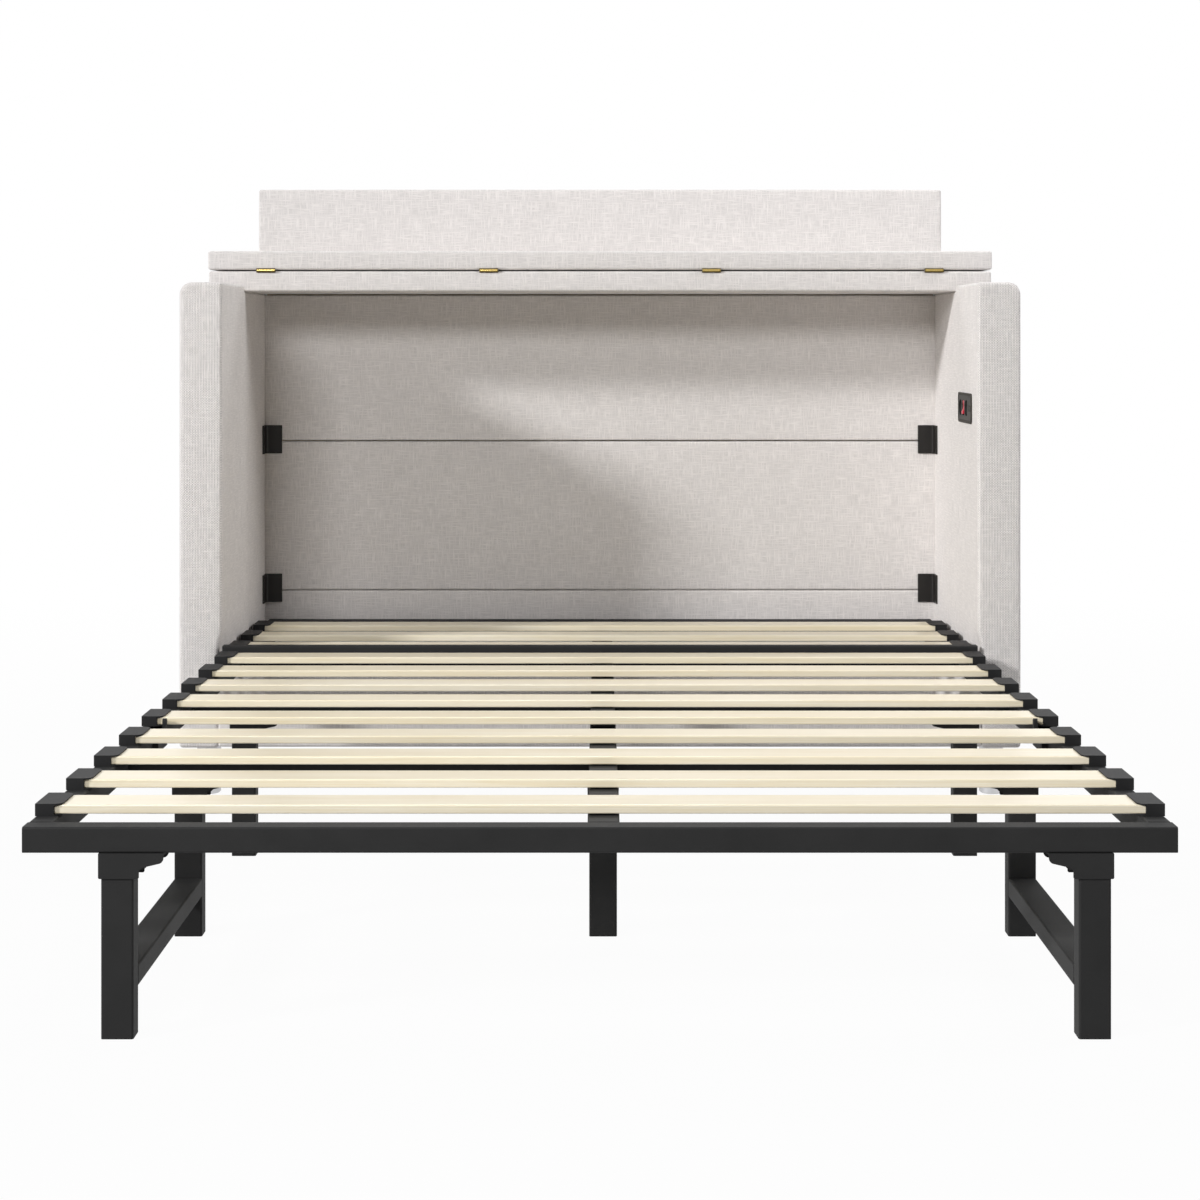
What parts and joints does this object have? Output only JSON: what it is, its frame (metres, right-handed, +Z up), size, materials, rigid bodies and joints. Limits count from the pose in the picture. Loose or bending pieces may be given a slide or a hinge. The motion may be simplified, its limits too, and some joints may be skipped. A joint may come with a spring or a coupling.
{
  "type": "cabinet bed",
  "caption": "Upholstered cabinet with a padded flap lid and a slatted steel bed frame that folds out on hinged legs.",
  "frame": {"origin": "on the floor under the middle of the whole object, with the bed out", "axes": "+X to the right seen from the foot of the bed, +Y from the foot of the bed to the back of the cabinet, +Z up"},
  "size_m": [1.69, 2.1622, 1.26],
  "materials": {
    "plywood": "raw plywood",
    "linen": "off-white mottled linen weave over foam",
    "charcoal_steel": "charcoal powder coat",
    "black_plastic": "moulded, matt",
    "slat_wood": "pale laminated birch, clear lacquer",
    "brass": "polished",
    "foot_metal": "satin",
    "power_case": "moulded, dark grey",
    "power_sockets": "moulded, near black",
    "rocker_red": "translucent red"
  },
  "bodies": {
    "cabinet": {"side_core_left": "plywood", "side_core_right": "plywood", "side_cover_left": "linen", "side_cover_right": "linen", "back_board": "plywood", "back_pad_top": "linen", "back_pad_middle": "linen", "back_pad_bottom": "linen", "corner_blocks": "black_plastic", "fixed_top": "linen", "lower_front_board": "linen", "board_clips": "brass", "cabinet_feet": "foot_metal", "lid_hinge_fixed_leaves": "brass", "lid_hinge_pins": "brass", "pivot_plates": "charcoal_steel", "rail_brackets": "charcoal_steel", "rear_rail_left": "charcoal_steel", "rear_rail_right": "charcoal_steel", "rear_cross_tubes": "charcoal_steel", "rear_beam": "charcoal_steel", "rear_slats": "slat_wood", "rear_slat_caps": "black_plastic", "power_housing": "power_case", "power_face": "power_case", "power_insert": "power_sockets"},
    "rocker": {"power_rocker": "rocker_red"},
    "lid": {"lid_panel": "linen", "lid_fascia": "linen", "lid_hinge_moving_leaves": "brass"},
    "middle_section": {"middle_rail_left": "charcoal_steel", "middle_rail_right": "charcoal_steel", "middle_cross_tube": "charcoal_steel", "middle_beam": "charcoal_steel", "cross_bar": "charcoal_steel", "middle_slats": "slat_wood", "middle_slat_caps": "black_plastic", "pivot_ears": "charcoal_steel", "fold_hinges_middle": "charcoal_steel", "middle_leg_brackets": "charcoal_steel"},
    "foot_section": {"front_rail_left": "charcoal_steel", "front_rail_right": "charcoal_steel", "foot_rail": "charcoal_steel", "front_cross_tube": "charcoal_steel", "front_beam": "charcoal_steel", "front_slats": "slat_wood", "front_slat_caps": "black_plastic", "fold_hinges_front": "charcoal_steel", "leg_brackets": "charcoal_steel"},
    "leg_frame_left": {"front_leg_left": "charcoal_steel", "second_leg_left": "charcoal_steel", "leg_brace_left": "charcoal_steel"},
    "leg_frame_right": {"front_leg_right": "charcoal_steel", "second_leg_right": "charcoal_steel", "leg_brace_right": "charcoal_steel"},
    "middle_leg_left": {"middle_leg_left": "charcoal_steel"},
    "middle_leg_right": {"middle_leg_right": "charcoal_steel"},
    "centre_leg": {"centre_leg": "charcoal_steel"}
  },
  "joints": [
    {"name": "lid_hinge", "type": "hinge", "parent": "cabinet", "child": "lid", "pos_m": [0, 0.71705, 1.063], "axis": [1, 0, 0], "range_deg": [0, 180]},
    {"name": "bed_pivot", "type": "hinge", "parent": "cabinet", "child": "middle_section", "pos_m": [0, 0.40305, 0.248], "axis": [-1, 0, 0], "range_deg": [0, 90]},
    {"name": "foot_fold", "type": "hinge", "parent": "middle_section", "child": "foot_section", "pos_m": [0, -0.36207, 0.28615], "axis": [-1, 0, 0], "range_deg": [0, 180]},
    {"name": "left_leg_fold", "type": "hinge", "parent": "foot_section", "child": "leg_frame_left", "pos_m": [-0.6, -1.06255, 0.23], "axis": [0, -1, 0], "range_deg": [0, 90]},
    {"name": "right_leg_fold", "type": "hinge", "parent": "foot_section", "child": "leg_frame_right", "pos_m": [0.616, -1.06255, 0.23], "axis": [0, 1, 0], "range_deg": [0, 90]},
    {"name": "left_middle_leg_fold", "type": "hinge", "parent": "middle_section", "child": "middle_leg_left", "pos_m": [-0.6, -0.07995, 0.23], "axis": [0, -1, 0], "range_deg": [0, 90]},
    {"name": "right_middle_leg_fold", "type": "hinge", "parent": "middle_section", "child": "middle_leg_right", "pos_m": [0.616, -0.07995, 0.23], "axis": [0, 1, 0], "range_deg": [0, 90]},
    {"name": "centre_leg_fold", "type": "hinge", "parent": "foot_section", "child": "centre_leg", "pos_m": [0.00475, -0.61105, 0.23], "axis": [-1, 0, 0], "range_deg": [0, 90]},
    {"name": "rocker_switch", "type": "hinge", "parent": "cabinet", "child": "rocker", "pos_m": [0.772, 0.60405, 0.7715], "axis": [0, -1, 0], "range_deg": [0, 14]}
  ]
}
